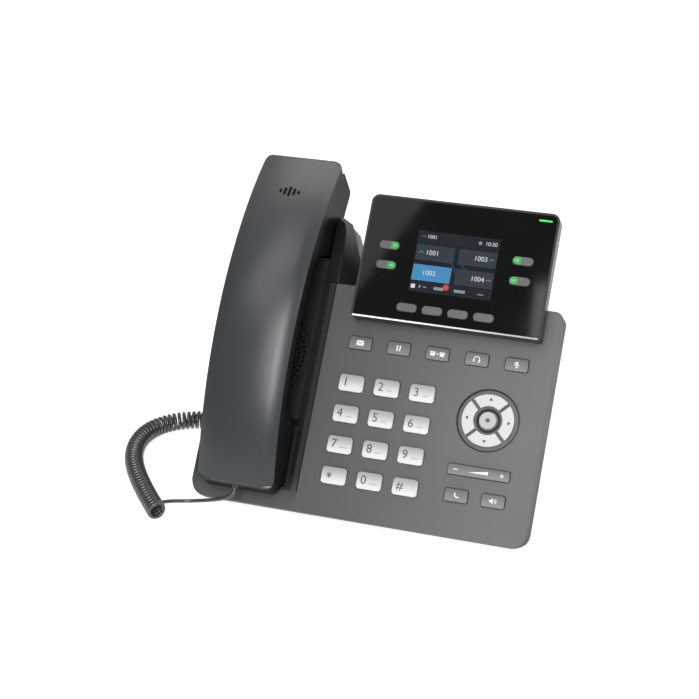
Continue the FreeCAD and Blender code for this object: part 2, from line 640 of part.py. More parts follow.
def waist(inset):
    """What is taken off each side of the inner shell along the grip, or off the room inside it."""
    cutters = []
    for side in (-1, 1):
        edge = CRADLE_X + side * (HANDSET_HALF + 5)
        root = CRADLE_X + side * (HANDSET_HALF - GRIP_WAIST - inset)
        tip = CRADLE_X + side * (HANDSET_HALF - 0.2 - inset)
        low, high = GRIP_Y
        outline = [V(edge, low - 9, -60), V(tip, low - 9, -60), V(root, low, -60), V(root, high, -60),
                   V(tip, high + 9, -60), V(edge, high + 9, -60)]
        cutters.append(Part.Face(Part.makePolygon(outline + outline[:1])).extrude(V(0, 0, 120)))
    return cutters


def handset_inner_shell():
    body = handset_solid(0, 0.7).cut(waist(0))
    body = body.cut(handset_solid(WALL, WALL + 0.7).cut(waist(WALL)))
    body = body.common(seam_side(SEAM_DEPTH))
    holes = [rod(CRADLE_X, EARPIECE_Y, 0.9, -30, -10), rod(CRADLE_X, MICROPHONE_Y, 0.8, -12, 2)]
    for turn in range(6):
        x = CRADLE_X + 5 * math.cos(turn * math.pi / 3)
        y = EARPIECE_Y + 5 * math.sin(turn * math.pi / 3)
        holes.append(rod(x, y, 0.9, -30, -10))
    return largest(body.cut(holes))


def largest(shape):
    return max(shape.Solids, key=lambda s: s.Volume)


def earpiece():
    """Round receiver, seated square on the inside of the ear cup."""
    body = joined([Part.makeCylinder(17, 5, V(0, 0, 0)), Part.makeCylinder(10, 9, V(0, 0, 0))])
    body.rotate(V(0, 0, 0), V(1, 0, 0), -math.degrees(math.atan(0.218)))
    seat = ear_floor(EARPIECE_Y, 0) + WALL + 0.45
    body.translate(V(CRADLE_X, EARPIECE_Y, seat))
    return body


def handset_microphone():
    body = rod(CRADLE_X, MICROPHONE_Y, 4.8, 0.8, 5.0)
    return body.fuse(box(CRADLE_X - 7, CRADLE_X + 7, 22, 34, -0.4, 1.0)).removeSplitter()


def handset_plug():
    px, pz = HANDSET_PLUG
    block = plug_block(px, 9.0, 20.5, pz)
    boot = Part.makeCone(2.6, 1.7, 2.6, V(px, 9.2, pz), V(0, -1, 0))
    return joined([block, boot])


# ---- cord ---------------------------------------------------------------------------------
def desk(y, z):
    """Y and Z of the standing phone for a point of the face frame."""
    return V(0, y * COS - z * SIN - ORIGIN_BACK, y * SIN + z * COS + SOLE_DROP + FOOT)


def stood(shape):
    """Lean a piece back from the face frame and set it on the desk."""
    result = shape.copy()
    result.rotate(V(0, 0, 0), V(1, 0, 0), TILT)
    result.translate(V(0, -ORIGIN_BACK, SOLE_DROP + FOOT))
    return result


def route_path(points):
    """Straight runs joined by tangent arcs, and the radii of those arcs."""
    edges, radii, here = [], [], points[0]
    for i in range(1, len(points) - 1):
        back, ahead = points[i - 1] - points[i], points[i + 1] - points[i]
        turn = math.pi - back.getAngle(ahead)
        reach = 0.45 * min(back.Length, ahead.Length)
        radii.append(reach / math.tan(turn / 2))
        start, end = points[i] + back.normalize() * reach, points[i] + ahead.normalize() * reach
        inward = (back + ahead).normalize()
        middle = points[i] + inward * (radii[-1] / math.cos(turn / 2) - radii[-1])
        edges += [Part.LineSegment(here, start).toShape(), Part.Arc(start, middle, end).toShape()]
        here = end
    edges.append(Part.LineSegment(here, points[-1]).toShape())
    return Part.Wire(edges), radii


def cord_tube(name, points, diameter):
    path, radii = route_path([V(*p) for p in points])
    start = V(*points[0])
    along = V(*points[1]) - start
    section = Part.Wire([Part.Circle(start, along, diameter / 2).toShape()])
    tube = path.makePipeShell([section], True, False)
    ratio = tube.Volume / (math.pi * diameter ** 2 / 4 * path.Length)
    print("%s: length %.1f mm, volume ratio %.4f, radii %s"
          % (name, path.Length, ratio, " ".join("%.1f" % r for r in radii)))
    return tube


COIL_ROUTE = ((-114.5, -90.5, 6.0), (-124.0, -79.5, 6.0), (-136.0, -64.4, 6.0), (-147.0, -49.0, 6.0),
              (-155.6, -33.5, 6.0), (-160.6, -16.5, 6.0), (-160.2, 0.5, 6.0), (-152.6, 14.5, 6.0),
              (-139.0, 23.6, 6.0), (-122.5, 27.6, 6.0), (-105.5, 28.6, 6.0))
LEAD_ROUTE = ((-71.0, -72.93, 19.89), (-71.0, -74.8, 17.42), (-73.4, -76.4, 15.5), (-78.0, -77.4, 13.8),
              (-85.0, -77.0, 11.4), (-93.2, -76.0, 8.9), (-101.2, -76.8, 7.7), (-107.5, -80.8, 8.8),
              (-111.9, -86.2, 10.5), (-115.3, -89.6, 10.85))
TAIL_ROUTE = ((-105.5, 28.6, 6.0), (-95.0, 28.9, 5.0), (-85.0, 26.0, 6.5), (-78.0, 18.0, 14.0),
              (-74.5, 8.0, 24.0), (-71.5, -2.5, 34.5), (-66.5, -10.5, 43.0), (-57.6, -13.0, 46.2))


def base_plug():
    """Plug of the cord's phone end, home in the upper of the two cord sockets."""
    y, z = 63.6, MAIN_Z[0] - CORD_JACK_HEIGHT / 2 + 0.8
    block = box(-52.0, -29.0, y - 3.85, y + 3.85, z - 3.1, z + 3.1)
    boot = Part.makeCone(2.6, 1.7, 5.6, V(-52.0, y, z), V(-1, 0, 0))
    return joined([block, boot])


# ---- stand and feet, modelled standing ---------------------------------------------------
def back_point(y):
    return desk(y, back_z(y))


def stand():
    top, low, rear = back_point(130), back_point(104), STAND_REAR
    side = [(low.y, low.z), (top.y, top.z), (rear, 5.5), (rear, FOOT), (rear - 19, FOOT), (rear - 20, 6.5)]

    def prism(points, x0, x1):
        wire = Part.makePolygon([V(x0, y, z) for y, z in points + points[:1]])
        return Part.Face(wire).extrude(V(x1 - x0, 0, 0))
    legs = [prism(side, -56, -51), prism(side, 51, 56)]
    across = V(0, top.y - low.y, top.z - low.z).normalize()
    out = V(0, across.z, -across.y)
    plate = prism([(low.y, low.z), (top.y, top.z), (top.y + 4 * out.y, top.z + 4 * out.z),
                   (low.y + 4 * out.y, low.z + 4 * out.z)], -51, 51)
    bar = prism(side[2:], -51, 51)
    return joined(legs + [plate, bar])


def rubber_feet():
    front = [Part.makeBox(30, 11, FOOT, V(x, desk(0, -8.3).y + 3.0, 0)) for x in (-92, 62)]
    rear = [Part.makeBox(26, 12, FOOT, V(x, 59.5, 0)) for x in (-55, 29)]
    return Part.makeCompound([pill_foot(f) for f in front + rear])


def pill_foot(block):
    return block.makeFillet(2.5, [e for e in block.Edges if abs(e.tangentAt(0).z) > 0.9])


# ---- the set ---------------------------------------------------------------------------------
def pieces():
    leaning = {
        "upper_housing": upper_housing(), "lower_housing": lower_housing(), "housing_screws": screws(),
        "speaker": speaker(), "main_board": main_board(), "keypad_board": keypad_board(),
        "keypad_membrane": keypad_membrane(), "display_bezel": display_bezel(),
        "display_back_cover": display_back_cover(), "display_lens": display_lens(),
        "lcd_panel": lcd_panel(), "display_board": display_board(), "hook_lever": hook_lever(),
        "network_jacks": network_jacks(), "cord_jacks": cord_jacks(), "power_jack": power_jack(),
        "handset_outer_shell": handset_outer_shell(), "handset_inner_shell": handset_inner_shell(),
        "earpiece": earpiece(), "handset_microphone": handset_microphone(),
        "handset_plug": handset_plug(), "base_plug": base_plug(), "volume_key": volume_key(),
        "key_ok": ok_key()}
    for name, key in plate_keys().items():
        if name != "volume_key":
            leaning[name] = plate_key(*key)
    for name, turn in (("key_right", 0), ("key_up", 90), ("key_left", 180), ("key_down", 270)):
        leaning[name] = nav_key(turn)
    for name, (x, y) in display_keys().items():
        leaning[name] = display_key(x, y)
    result = {name: stood(shape) for name, shape in leaning.items()}
    result["stand"] = stand()
    result["rubber_feet"] = rubber_feet()
    result["cord_coil"] = cord_tube("cord_coil", COIL_ROUTE, COIL_D)
    result["cord_lead"] = cord_tube("cord_lead", LEAD_ROUTE, LEAD_D)
    result["cord_tail"] = cord_tube("cord_tail", TAIL_ROUTE, LEAD_D)
    return result


def main():
    os.makedirs("parts", exist_ok=True)
    for name, shape in pieces().items():
        facts = (name, len(shape.Solids), shape.isValid(), shape.Volume)
        print("%-22s solids %d valid %s volume %.0f" % facts)
        shape.exportStep("parts/%s.step" % name)


main()
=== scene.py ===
import json
import math

import bmesh
import bpy
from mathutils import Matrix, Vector


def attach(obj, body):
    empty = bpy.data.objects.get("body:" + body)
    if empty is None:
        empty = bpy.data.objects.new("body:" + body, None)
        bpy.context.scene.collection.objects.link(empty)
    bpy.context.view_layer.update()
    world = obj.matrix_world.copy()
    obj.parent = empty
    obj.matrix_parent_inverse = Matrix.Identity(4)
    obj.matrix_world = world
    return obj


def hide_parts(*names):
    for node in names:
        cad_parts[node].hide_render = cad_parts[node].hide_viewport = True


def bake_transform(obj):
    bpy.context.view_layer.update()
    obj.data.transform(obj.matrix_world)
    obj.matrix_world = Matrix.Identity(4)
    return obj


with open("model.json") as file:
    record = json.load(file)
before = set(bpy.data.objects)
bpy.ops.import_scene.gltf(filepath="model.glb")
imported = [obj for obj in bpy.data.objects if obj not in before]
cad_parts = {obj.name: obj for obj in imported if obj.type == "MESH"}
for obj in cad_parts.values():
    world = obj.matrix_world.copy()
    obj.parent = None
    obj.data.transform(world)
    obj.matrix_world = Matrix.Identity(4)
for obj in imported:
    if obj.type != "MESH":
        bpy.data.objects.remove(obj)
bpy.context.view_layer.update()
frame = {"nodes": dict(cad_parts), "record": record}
NODES = frame["nodes"]

# ---- the face frame: X right, Y up the leaning face, Z out of it, in millimetres ----
MM = 0.001
TILT = math.radians(52.9)
RIGHT = Vector((1, 0, 0))
UP = Vector((0, math.cos(TILT), math.sin(TILT)))
OUT = Vector((0, -math.sin(TILT), math.cos(TILT)))
FACE_ORIGIN = Vector((0, -66.0, 6.5)) * MM

CRADLE_X = -71.0                       # centre line of the cradle and the handset
HANDSET_R = 219.7                      # radius of the handset's bowed back
HANDSET_ARC = (103.4, -180.0)          # and its centre, (Y, Z)
DISH, DISH_RADIUS = (70.0, 71.2), 18.7  # round recess of the direction keys
MOAT_R = (7.0, 7.6)                    # edge of the gap round its middle key, where shade is painted
GROOVE_X, GROOVE_LOW = (-37.6, -37.0), 12.0  # groove between cradle and plate, and its lower end
PLATE_TOP = 141.5
BLOCK_RIGHT = -18.4                    # foot of the raised block beside the ear end
DISPLAY_TOP = 12.0                     # front of the display window above the plate
PRINT = 0.06                           # thickness of printed marks
LIFT = 0.02                            # their clearance above the surface


def at(x, y, z):
    """Point of the face frame, in the shared frame and in metres."""
    return FACE_ORIGIN + (RIGHT * x + UP * y + OUT * z) * MM


def face_box(node):
    """Lowest and highest corner of a CAD node in the face frame, in millimetres."""
    points = [(v.co - FACE_ORIGIN) / MM for v in NODES[node].data.vertices]
    axes = (RIGHT, UP, OUT)
    low = Vector([min(p.dot(a) for p in points) for a in axes])
    high = Vector([max(p.dot(a) for p in points) for a in axes])
    return low, high


def key_top(node):
    """Centre of a key and the height of its top."""
    low, high = face_box(node)
    return (low.x + high.x) / 2, (low.y + high.y) / 2, high.z


# ---- materials ------------------------------------------------------------------------
def srgb(r, g, b):
    """Linear colour of 0-255 screen values."""
    def linear(v):
        v /= 255
        return v / 12.92 if v <= 0.04045 else ((v + 0.055) / 1.055) ** 2.4
    return (linear(r), linear(g), linear(b), 1)


class Surface:
    """A node-based material: one shader, with colour, roughness and relief worked out by nodes."""

    def __init__(self, name):
        self.material = bpy.data.materials.new(name)
        self.material.use_nodes = True
        self.tree = self.material.node_tree
        self.shader = self.tree.nodes["Principled BSDF"]
        self.place = self.add("ShaderNodeTexCoord").outputs["Object"]

    def add(self, kind, **values):
        node = self.tree.nodes.new(kind)
        for key, value in values.items():
            setattr(node, key, value)
        return node

    def link(self, source, target):
        self.tree.links.new(source, target)

    def set(self, **values):
        for key, value in values.items():
            self.shader.inputs[key.replace("_", " ")].default_value = value

    def noise(self, scale, detail=3.0, rough=0.55):
        node = self.add("ShaderNodeTexNoise")
        node.inputs["Scale"].default_value = scale
        node.inputs["Detail"].default_value = detail
        node.inputs["Roughness"].default_value = rough
        self.link(self.place, node.inputs["Vector"])
        return node.outputs["Fac"]

    def math(self, operation, a, b=0.0, c=0.0):
        node = self.add("ShaderNodeMath", operation=operation)
        for socket, value in zip(node.inputs, (a, b, c)):
            if isinstance(value, (int, float)):
                socket.default_value = value
            else:
                self.link(value, socket)
        return node.outputs[0]

    def remap(self, value, low, high, to_low=0.0, to_high=1.0):
        node = self.add("ShaderNodeMapRange", interpolation_type="SMOOTHSTEP")
        settings = (("From Min", low), ("From Max", high), ("To Min", to_low), ("To Max", to_high))
        for key, number in settings:
            node.inputs[key].default_value = number
        self.link(value, node.inputs["Value"])
        return node.outputs[0]

    def along(self, axis):
        """Distance in millimetres along an axis of the face frame."""
        node = self.add("ShaderNodeVectorMath", operation="DOT_PRODUCT")
        self.link(self.place, node.inputs[0])
        node.inputs[1].default_value = axis / MM
        return self.math("SUBTRACT", node.outputs["Value"], FACE_ORIGIN.dot(axis) / MM)

    def mix(self, factor, a, b):
        node = self.add("ShaderNodeMix", data_type="RGBA")
        for socket, value in ((node.inputs[0], factor), (node.inputs[6], a), (node.inputs[7], b)):
            if isinstance(value, (int, float, tuple)):
                socket.default_value = value
            else:
                self.link(value, socket)
        return node.outputs[2]

    def colour(self, source):
        self.link(source, self.shader.inputs["Base Color"])

    def glow(self, source, strength):
        self.link(source, self.shader.inputs["Emission Color"])
        self.set(Emission_Strength=strength)

    def roughness(self, source, low, high):
        self.link(self.remap(source, 0.3, 0.7, low, high), self.shader.inputs["Roughness"])

    def relief(self, height, depth):
        """Bump with a depth in millimetres."""
        node = self.add("ShaderNodeBump")
        node.inputs["Strength"].default_value = 1.0
        node.inputs["Distance"].default_value = depth * MM
        self.link(height, node.inputs["Height"])
        self.link(node.outputs["Normal"], self.shader.inputs["Normal"])


SPARK = (2600, 2.0, 0.6)               # spark-eroded texture: scale, detail, roughness of the noise


def scaled(colour, factor):
    return tuple(min(1.0, c * factor) for c in colour[:3]) + (1,)


def moulded(name, colour, rough, grain, specular):
    """Injection-moulded plastic with a fine spark-eroded texture."""
    s = Surface(name)
    cloud = s.noise(28, 3.0)
    s.colour(s.mix(cloud, scaled(srgb(*colour), 0.94), scaled(srgb(*colour), 1.06)))
    s.roughness(cloud, rough - 0.04, rough + 0.05)
    s.relief(s.noise(*SPARK), grain)
    s.set(Specular_IOR_Level=specular)
    return s


def plain_film(name, colour, rough, glow, specular):
    """Printed or lit film with a faint variation; its glow is the light of the green lamps and a faint
    painted glow on the white print.
    """
    s = Surface(name)
    tint = s.mix(s.noise(220, 2.0), scaled(srgb(*colour), 0.93), scaled(srgb(*colour), 1.05))
    s.colour(tint)
    s.set(Roughness=rough, Specular_IOR_Level=specular)
    if glow:
        s.glow(tint, glow)
    return s


def recess_shade_mask(s, x, y):
    """Mask of painted shade: one inside the groove beside the cradle, on the wall of the round dish and round
    its middle key.
    """
    groove = s.math("MULTIPLY", s.remap(x, GROOVE_X[0] - 0.15, GROOVE_X[0]),
                    s.remap(x, GROOVE_X[1], GROOVE_X[1] + 0.15, 1, 0))
    groove = s.math("MULTIPLY", groove, s.remap(y, GROOVE_LOW - 2, GROOVE_LOW))
    dx, dy = s.math("SUBTRACT", x, DISH[0]), s.math("SUBTRACT", y, DISH[1])
    radius = s.math("SQRT", s.math("ADD", s.math("MULTIPLY", dx, dx), s.math("MULTIPLY", dy, dy)))
    wall = s.math("MULTIPLY", s.remap(radius, DISH_RADIUS - 1.0, DISH_RADIUS - 0.4),
                  s.remap(radius, DISH_RADIUS, DISH_RADIUS + 0.5, 1, 0))
    moat = s.remap(radius, *MOAT_R, 1, 0)
    return s.math("MAXIMUM", groove, s.math("MAXIMUM", wall, moat))


def front_shell():
    """Keypad plate in mid grey with painted light and shade, darker at its left and lighter towards its
    right; painted shade in the cradle, darkest at its upper end, and in the groove, on the dish wall and
    round the middle key; the raised block takes the cradle's dark colour and the side walls are darker.
    """
    # plate colours carry painted light and shade; the cradle colours and the recess colour are painted shade
    plate_shaded_left, plate_lit_right, plate_cloud = srgb(74, 75, 75), srgb(99, 100, 100), srgb(87, 88, 88)
    side_wall, recess_shade = srgb(40, 41, 41), srgb(24, 25, 25)
    cradle_shade_upper, cradle_shade_lower = srgb(29, 30, 31), srgb(74, 75, 75)
    s = Surface("front_shell")
    x, y = s.along(RIGHT), s.along(UP)
    cloud = s.noise(24, 3.0)
    # painted light and shade: the plate is painted darker at its left and lighter towards its right
    plate = s.mix(s.remap(x, -40, 100), plate_shaded_left, plate_lit_right)
    plate = s.mix(s.math("MULTIPLY", cloud, 0.3), plate, plate_cloud)
    plate = s.mix(s.remap(s.along(OUT), -2.4, -1.4, 1, 0), plate, side_wall)
    # painted shade in the cradle trough, darkest at its upper end and fading towards its low end; the raised
    # block takes the same dark colour
    cradle = s.mix(s.remap(y, 2, 24, 1, 0), cradle_shade_upper, cradle_shade_lower)
    in_cradle = s.remap(x, GROOVE_X[0], GROOVE_X[0] + 0.4, 1, 0)
    on_block = s.math("MULTIPLY", s.remap(y, PLATE_TOP - 0.3, PLATE_TOP + 0.3),
                      s.remap(x, BLOCK_RIGHT - 0.2, BLOCK_RIGHT + 0.2, 1, 0))
    base = s.mix(s.math("MAXIMUM", in_cradle, on_block), plate, cradle)
    # painted shade in the groove, on the dish wall and in the gap round the middle key
    s.colour(s.mix(recess_shade_mask(s, x, y), base, recess_shade))
    s.roughness(cloud, 0.42, 0.5)
    s.relief(s.noise(*SPARK), 0.014)
    s.set(Specular_IOR_Level=0.2)
    return s


def key_painted_shade(node, lit_low_colour, shaded_high_colour, rough):
    """Satin key cap with painted light at its lower edge and painted shade towards its upper edge."""
    low, high = face_box(node)
    s = Surface(node)
    cloud = s.noise(60, 2.0)
    # painted light at the lower edge, painted shade towards the upper edge
    tint = s.mix(s.remap(s.along(UP), low.y + 1.5, high.y - 0.8), srgb(*lit_low_colour), srgb(*shaded_high_colour))
    s.colour(s.mix(s.math("MULTIPLY", cloud, 0.08), tint, (0.5, 0.5, 0.5, 1)))
    s.roughness(cloud, rough, rough + 0.06)
    s.relief(s.noise(2400, 2.0), 0.004)
    return s


def handset_plastic_painted_light():
    """Blue-grey at the mouth end; painted light makes it lighter and neutral towards the ear end."""
    s = Surface("handset_shell")
    cloud = s.noise(30, 3.0)
    # painted light: the colour turns lighter towards the ear end
    base = s.mix(s.remap(s.along(UP), 120, 215), srgb(40, 45, 49), srgb(66, 68, 69))
    s.colour(s.mix(s.math("MULTIPLY", cloud, 0.3), base, srgb(50, 53, 56)))
    s.roughness(cloud, 0.275, 0.295)
    s.relief(s.noise(*SPARK), 0.006)
    return s


def window_black():
    s = Surface("display_window")
    haze = s.noise(35, 2.0)
    s.colour(s.mix(haze, srgb(8, 8, 9), srgb(13, 13, 14)))
    s.roughness(haze, 0.035, 0.06)
    s.set(Specular_IOR_Level=0.14)
    return s


def circuit_board():
    s = Surface("circuit_board")
    traces = s.add("ShaderNodeTexBrick")
    traces.inputs["Scale"].default_value = 300
    s.link(s.place, traces.inputs["Vector"])
    fine = s.noise(400, 2.0)
    s.colour(s.mix(traces.outputs["Fac"], srgb(16, 84, 48), srgb(28, 120, 70)))
    s.roughness(fine, 0.25, 0.4)
    s.relief(traces.outputs["Fac"], 0.03)
    return s


def screw_steel():
    s = Surface("screw_steel")
    steel = srgb(168, 168, 170)
    brush = s.noise(900, 3.0)
    s.colour(s.mix(brush, scaled(steel, 0.9), scaled(steel, 1.08)))
    s.roughness(brush, 0.3, 0.42)
    s.relief(brush, 0.004)
    s.set(Metallic=1.0)
    return s


def trim_painted_highlight():
    """Polished light strip with a painted highlight: bright at its left end and turning greyer towards its
    right end.
    """
    s = Surface("trim_silver_painted_highlight")
    fine = s.noise(120, 2.0)
    # painted highlight: bright at the left end, greyer towards the right
    tint = s.mix(s.remap(s.along(RIGHT), -10, 96), srgb(250, 250, 250), srgb(150, 151, 152))
    s.colour(s.mix(s.math("MULTIPLY", fine, 0.1), tint, srgb(200, 201, 202)))
    s.roughness(fine, 0.18, 0.24)
    return s


def rubber(name, colour, rough, sheen=0.1):
    s = Surface(name)
    speck = s.noise(1500, 3.0)
    s.colour(s.mix(speck, scaled(srgb(*colour), 0.85), scaled(srgb(*colour), 1.15)))
    s.roughness(speck, rough - 0.05, rough + 0.08)
    s.relief(speck, 0.01)
    s.set(Sheen_Weight=sheen)
    return s


def glossy_cord():
    s = rubber("cord", (34, 35, 36), 0.3, 0.0)
    s.set(Coat_Weight=0.8, Coat_Roughness=0.16)
    return s


MOULDED = {                            # colour, roughness, depth of the grain in millimetres, specular level
    "rear_shell": ((44, 45, 46), 0.5, 0.016, 0.5),
    "handset_inner": ((27, 28, 29), 0.44, 0.012, 0.06),
    "display_frame": ((46, 48, 49), 0.3, 0.006, 0.15),
    "display_back": ((42, 43, 44), 0.5, 0.016, 0.5),
    "ok_key": ((160, 162, 162), 0.3, 0.004, 0.5),
    "direction_key": ((184, 186, 185), 0.32, 0.004, 0.5),
    "display_key": ((70, 70, 71), 0.4, 0.006, 0.5),
    "speaker": ((30, 30, 31), 0.7, 0.03, 0.5),
    "socket_plastic": ((36, 36, 37), 0.45, 0.01, 0.5),
    "cord_plug": ((48, 49, 50), 0.22, 0.004, 0.5),
    "hook_plastic": ((34, 34, 35), 0.45, 0.01, 0.5),
}
FILMS = {                              # colour, roughness, glow, specular level
    "lcd": ((40, 48, 56), 0.1, 0.0, 0.5),
    "ink_dark": ((52, 53, 55), 0.45, 0.0, 0.5),
    "ink_soft": ((150, 152, 153), 0.45, 0.0, 0.5),
    # white print with a faint painted glow
    "ink_white_painted_glow": ((214, 215, 215), 0.4, 0.1, 0.5),
    "ink_black": ((9, 9, 10), 0.6, 0.0, 0.1),
    "lit_green": ((34, 128, 54), 0.3, 0.3, 0.5),
    "led_green": ((14, 196, 60), 0.2, 0.9, 0.5),
}
KEYS_PAINTED_SHADE = {                      # painted lit colour at the lower edge and painted shaded colour at the upper edge, roughness
    "dial_key": ((204, 205, 204), (136, 138, 138), 0.3),
    "function_key": ((100, 101, 101), (60, 61, 62), 0.34),
}
MATERIALS = {
    "front_shell": front_shell(),
    "handset_shell": handset_plastic_painted_light(),
    "display_window": window_black(),
    "key_rubber": rubber("key_rubber", (188, 190, 186), 0.55),
    "circuit_board": circuit_board(),
    "screw_steel": screw_steel(),
    "trim_silver_painted_highlight": trim_painted_highlight(),
    "foot_rubber": rubber("foot_rubber", (34, 34, 35), 0.75),
    "cord": glossy_cord(),
}
MATERIALS.update({name: moulded(name, *look) for name, look in MOULDED.items()})
MATERIALS.update({name: plain_film(name, *look) for name, look in FILMS.items()})


# ---- small mesh tools -------------------------------------------------------------------
def link(thing):
    bpy.context.scene.collection.objects.link(thing)


def to_object(name, mesh, material, body):
    piece = bpy.data.objects.new(name, mesh)
    link(piece)
    piece.data.materials.append(MATERIALS[material].material)
    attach(piece, body)
    return piece


def to_mesh(name, bm):
    mesh = bpy.data.meshes.new(name)
    bm.to_mesh(mesh)
    bm.free()
    return mesh


def mesh_of_curve(curve):
    """Mesh of a text or a spline, with its own material taken off."""
    holder = bpy.data.objects.new(curve.name, curve)
    link(holder)
    bpy.context.view_layer.update()
    mesh = bpy.data.meshes.new_from_object(holder.evaluated_get(bpy.context.evaluated_depsgraph_get()))
    bpy.data.objects.remove(holder)
    mesh.materials.clear()
    return mesh


def bridge(bm, first, second, slot=0):
    """Faces between two closed rings of vertices."""
    for i in range(len(first)):
        j = (i + 1) % len(first)
        bm.faces.new((first[i], first[j], second[j], second[i])).material_index = slot


def prism(bm, low, high):
    """Closed solid between two rings of vertices."""
    bm.faces.new(low[::-1])
    bm.faces.new(high)
    bridge(bm, low, high)


def film_mesh(name, outlines, z, thickness=PRINT):
    """Thin closed plates on the face, one for each outline of (x, y) points; z is their lower side."""
    bm = bmesh.new()
    for points in outlines:
        low = [bm.verts.new(at(x, y, z)) for x, y in points]
        high = [bm.verts.new(at(x, y, z + thickness)) for x, y in points]
        prism(bm, low, high)
    bmesh.ops.recalc_face_normals(bm, faces=bm.faces)
    return to_mesh(name, bm)


def film(name, outlines, z, material, body, thickness=PRINT):
    return to_object(name, film_mesh(name, outlines, z + LIFT, thickness), material, body)


def disc(cx, cy, radius, count=28):
    turns = [2 * math.pi * i / count for i in range(count)]
    return [(cx + radius * math.cos(a), cy + radius * math.sin(a)) for a in turns]


def rect(x0, x1, y0, y1):
    return [(x0, y0), (x1, y0), (x1, y1), (x0, y1)]


def round_rect(cx, cy, w, h, radius, count=7):
    points = []
    for sx, sy, start in ((1, 1, 0), (-1, 1, 90), (-1, -1, 180), (1, -1, 270)):
        px, py = cx + sx * (w / 2 - radius), cy + sy * (h / 2 - radius)
        for i in range(count):
            a = math.radians(start + 90 * i / (count - 1))
            points.append((px + radius * math.cos(a), py + radius * math.sin(a)))
    return points


def arc_band(cx, cy, radius, width, start, end, count=18):
    """Curved bar between two angles, in degrees."""
    turns = [math.radians(start + (end - start) * i / count) for i in range(count + 1)]
    outer, inner = radius + width / 2, radius - width / 2
    band = [(cx + outer * math.cos(a), cy + outer * math.sin(a)) for a in turns]
    return band + [(cx + inner * math.cos(a), cy + inner * math.sin(a)) for a in turns[::-1]]


def bar(x0, y0, x1, y1, width):
    """Straight stroke with square ends."""
    length = math.hypot(x1 - x0, y1 - y0)
    dx, dy = (x1 - x0) / length * width / 2, (y1 - y0) / length * width / 2
    return [(x0 - dy, y0 + dx), (x0 + dy, y0 - dx), (x1 + dy, y1 - dx), (x1 - dy, y1 + dx)]


def moved(outline, x, y, size=1.0, turn=0.0):
    c, s = math.cos(math.radians(turn)) * size, math.sin(math.radians(turn)) * size
    return [(x + a * c - b * s, y + a * s + b * c) for a, b in outline]


def text_mesh(name, words, x, y, z, size):
    """Digits as a thin solid on the face; they start at x and are centred on y."""
    curve = bpy.data.curves.new(name, "FONT")
    curve.body = words
    curve.size = size
    curve.extrude = PRINT / 2
    curve.resolution_u = 4
    curve.align_x = "LEFT"
    curve.align_y = "CENTER"
    mesh = mesh_of_curve(curve)
    for vertex in mesh.vertices:
        p = vertex.co
        vertex.co = at(x + p.x, y + p.y, z + LIFT + PRINT / 2 + p.z)
    return mesh


# ---- carried-over CAD nodes ---------------------------------------------------------------
OWN_FINISH = {"handset_inner_shell": "handset_inner"}
OWN_FINISH.update({"key_" + way: "direction_key" for way in ("up", "down", "left", "right")})


def dress_nodes():
    """Give each CAD node a finish of its own, its own gradient of painted light and shade or the look of its
    slot.
    """
    for row in frame["record"]["subparts"]:
        node, slot = row["node"], row["material_slot"]
        if node in OWN_FINISH:
            surface = MATERIALS[OWN_FINISH[node]]
        elif slot in KEYS_PAINTED_SHADE:
            surface = key_painted_shade(node, *KEYS_PAINTED_SHADE[slot])
        else:
            surface = MATERIALS[slot]
        shown = NODES[node]
        shown.data.materials.clear()
        shown.data.materials.append(surface.material)


dress_nodes()


# ---- printed marks on the keys ---------------------------------------------------------------
DIAL = dict(zip((*"123456789", "star", "0", "hash"), "123456789*0#"))
LETTER_COUNTS = {"2": 3, "3": 3, "4": 3, "5": 3, "6": 3, "7": 4, "8": 3, "9": 4, "0": 4}
DIGIT_SIZE, DIGIT_X, DIGIT_Y = 7.4, -5.4, 0.1   # height of the type and its start from the key's centre
STAR_X, STAR_R = -2.9, 1.9
LETTER_X, LETTER_PITCH, LETTER_WIDTH = 0.4, 1.25, 0.85


def star(cx, cy, radius):
    arms = [(radius * math.cos(a), radius * math.sin(a)) for a in map(math.radians, (90, 30, 150))]
    return [bar(cx + dx, cy + dy, cx - dx, cy - dy, 0.5) for dx, dy in arms]


def dial_marks():
    """Digit, star or hash on each dial key, and a plain bar for each small letter."""
    for name, digit in DIAL.items():
        node = "key_" + name
        x, y, z = key_top(node)
        if digit == "*":
            film("mark_star", star(x + STAR_X, y, STAR_R), z, "ink_dark", node)
        else:
            mesh = text_mesh("mark_" + name, digit, x + DIGIT_X, y + DIGIT_Y, z, DIGIT_SIZE)
            to_object("mark_" + name, mesh, "ink_dark", node)
        starts = [x + LETTER_X + i * LETTER_PITCH for i in range(LETTER_COUNTS.get(name, 0))]
        if starts:
            letters = [rect(start, start + LETTER_WIDTH, y - 1.9, y - 1.1) for start in starts]
            film("small_mark_" + name, letters, z, "ink_soft", node)


def handset_icon(size, turn=0.0):
    """Telephone handset as one outline, about two units long."""
    back = [(math.cos(a), math.sin(a)) for a in
            (math.radians(35 + 110 * i / 14) for i in range(15))]
    front = [(0.66 * math.cos(a), 0.66 * math.sin(a)) for a in
             (math.radians(132 - 84 * i / 10) for i in range(11))]
    cup_left = [(-0.98, 0.30), (-0.62, 0.18), (-0.50, 0.46)]
    cup_right = [(0.50, 0.46), (0.62, 0.18), (0.98, 0.30)]
    outline = back + cup_left + front + cup_right
    return moved([(a, b - 0.55) for a, b in outline], 0, 0, size, turn)


def icon_message(x, y):
    """Closed letter: a rounded body with its flap scored across."""
    body = round_rect(x, y, 4.6, 3.2, 0.9)
    return [body], [bar(x - 1.7, y + 0.9, x, y - 0.25, 0.34), bar(x, y - 0.25, x + 1.7, y + 0.9, 0.34)]


